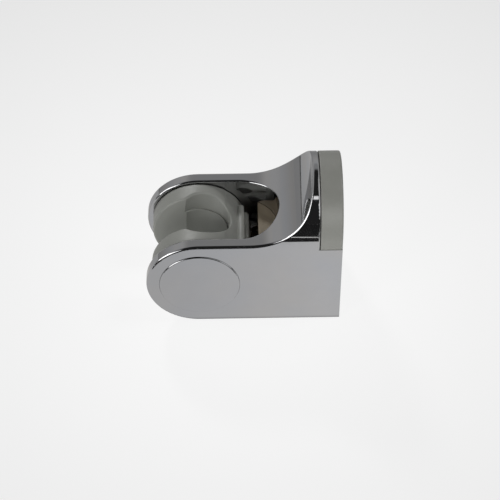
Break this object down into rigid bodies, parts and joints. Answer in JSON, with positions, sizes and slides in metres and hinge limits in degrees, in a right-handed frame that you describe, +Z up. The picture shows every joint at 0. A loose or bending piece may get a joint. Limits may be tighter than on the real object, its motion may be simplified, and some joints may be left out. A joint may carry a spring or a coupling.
{
  "type": "hand shower holder",
  "caption": "Wall holder for a hand shower: a chrome fork on an arched grey wall plate, with a swivelling grey cup that has a conical socket and a front slot for the hose.",
  "frame": {"origin": "on the wall plane, on the holder's centreline, half way up the height of its arms", "axes": "+Y into the wall, -Y out of the wall towards the user, +Z up, +X across the fork along the cup's pivot"},
  "size_m": [0.0484, 0.0878, 0.0747],
  "materials": {
    "chrome": "chrome plated",
    "plate_plastic": "satin",
    "cup_plastic": "satin",
    "bush_plastic": "moulded",
    "block_plastic": "moulded",
    "steel": "bright",
    "spring_steel": "blued",
    "brass": "turned",
    "rubber": "moulded"
  },
  "bodies": {
    "holder": {"body_shell": "chrome", "pivot_cap_left": "chrome", "pivot_cap_right": "chrome", "wall_plate": "plate_plastic", "spring_washer_left": "steel", "spring_washer_right": "steel", "detent_block": "block_plastic", "detent_spring": "spring_steel", "detent_screw_upper": "steel", "detent_screw_lower": "steel", "locking_screw": "steel", "locking_insert": "brass"},
    "cup": {"swivel_cup": "cup_plastic", "pivot_bush_left": "bush_plastic", "pivot_bush_right": "bush_plastic", "pivot_screw_left": "steel", "pivot_screw_right": "steel", "friction_ring_left": "rubber", "friction_ring_right": "rubber"}
  },
  "joints": [
    {"name": "cup_tilt", "type": "hinge", "parent": "holder", "child": "cup", "pos_m": [0, -0.0638, 0.0013], "axis": [1, 0, 0], "range_deg": [-28, 42], "deforming": ["detent_spring"]}
  ]
}
